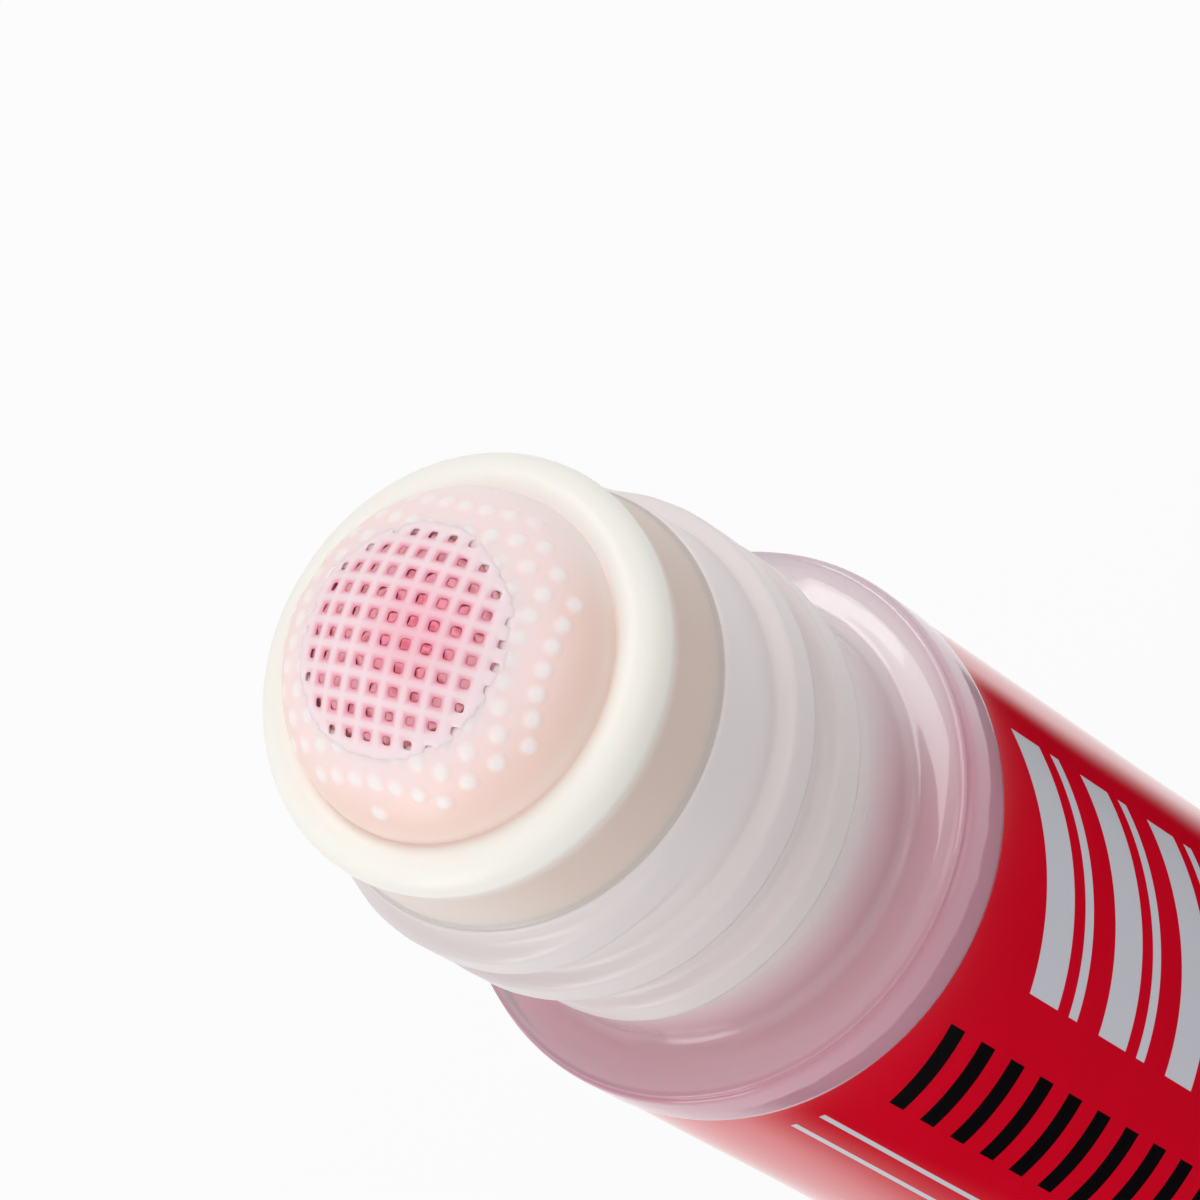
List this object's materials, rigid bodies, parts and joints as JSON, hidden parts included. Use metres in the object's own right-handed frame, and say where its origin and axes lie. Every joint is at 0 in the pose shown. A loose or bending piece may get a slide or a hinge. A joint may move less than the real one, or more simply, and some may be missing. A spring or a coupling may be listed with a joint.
{
  "type": "sponge-tip glue bottle",
  "caption": "Clear round glue bottle with a film label and a soft domed stopper pressed into its neck; glue wets a sponge pad and is spread through the woven net tip.",
  "frame": {"origin": "centre of the standing ring under the base, where the bottle's axis meets the surface it stands on", "axes": "+Z along the bottle's axis from the base to the net tip; -Y is the side that the picture was taken from; +X completes a right-handed frame"},
  "size_m": [0.032, 0.032, 0.1115],
  "materials": {
    "clear_plastic": "gloss",
    "label_film": "gloss",
    "glue": "gloss",
    "soft_plastic": "satin",
    "net_yarn": "satin",
    "sponge": "matte"
  },
  "bodies": {
    "bottle": {"bottle": "clear_plastic", "label": "label_film", "glue_fill": "glue"},
    "applicator": {"applicator_stopper": "soft_plastic", "net": "net_yarn", "sponge_pad": "sponge"}
  },
  "joints": [
    {"name": "applicator_pull", "type": "slide", "parent": "bottle", "child": "applicator", "axis": [0, 0, 1], "range_m": [0, 0.02]}
  ]
}
